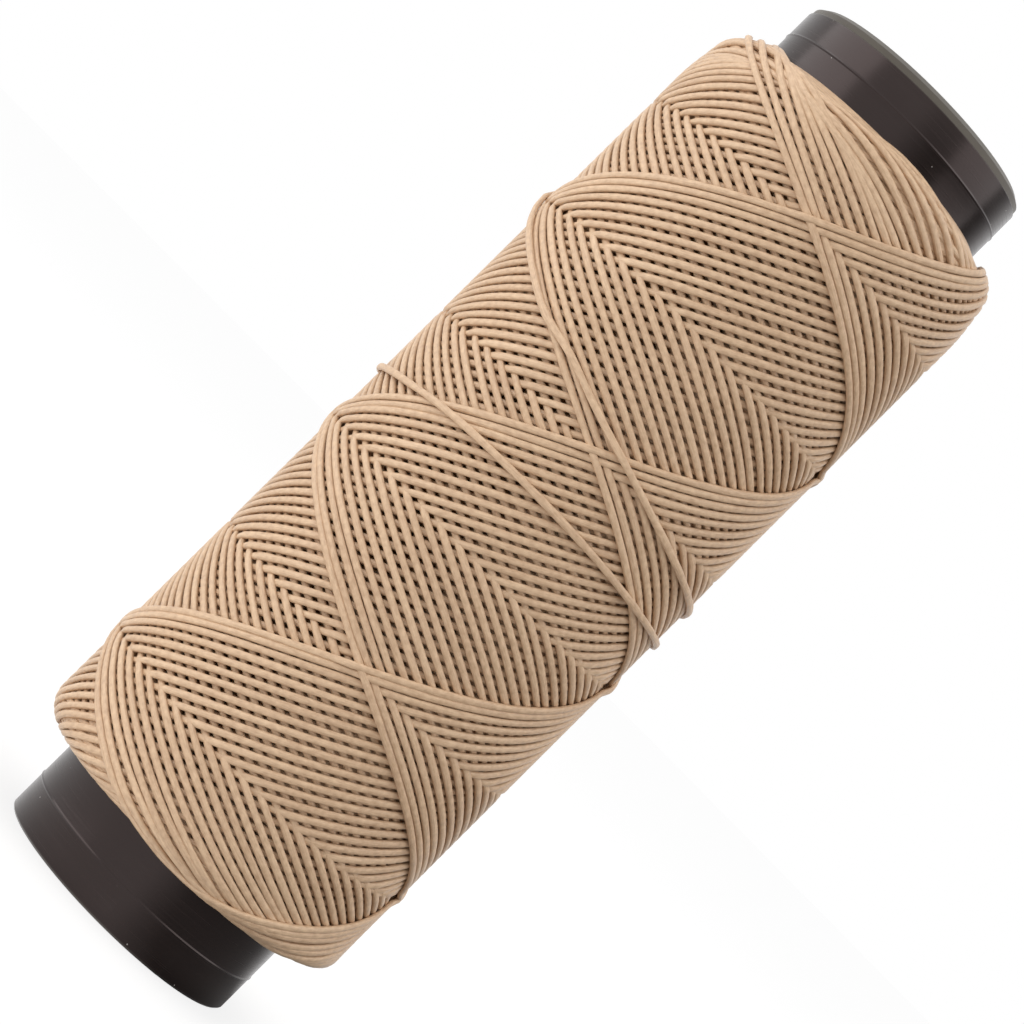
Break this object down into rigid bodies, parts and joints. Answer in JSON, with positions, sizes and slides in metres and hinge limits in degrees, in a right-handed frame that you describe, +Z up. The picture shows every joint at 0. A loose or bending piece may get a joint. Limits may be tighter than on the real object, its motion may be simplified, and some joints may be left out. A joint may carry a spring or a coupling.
{
  "type": "spool of waxed sewing thread",
  "caption": "Cross-wound spool of beige waxed thread on a dark plastic tube with an open bore, for hand sewing leather.",
  "frame": {"origin": "on the tube's axis, in the plane of the tube's lower end face that the spool stands on", "axes": "+Z up the tube's axis, from the foot end to the head end with the stepped rim; -Y is the front, the side that faces the reader"},
  "size_m": [0.0496, 0.0496, 0.14],
  "materials": {
    "tube_plastic": "moulded, semi-gloss, very dark brown-black",
    "waxed_thread": "waxed, satin, light tan-beige"
  },
  "bodies": {
    "root": {"core_tube": "tube_plastic", "wound_thread": "waxed_thread", "last_turns": "waxed_thread"}
  },
  "joints": []
}
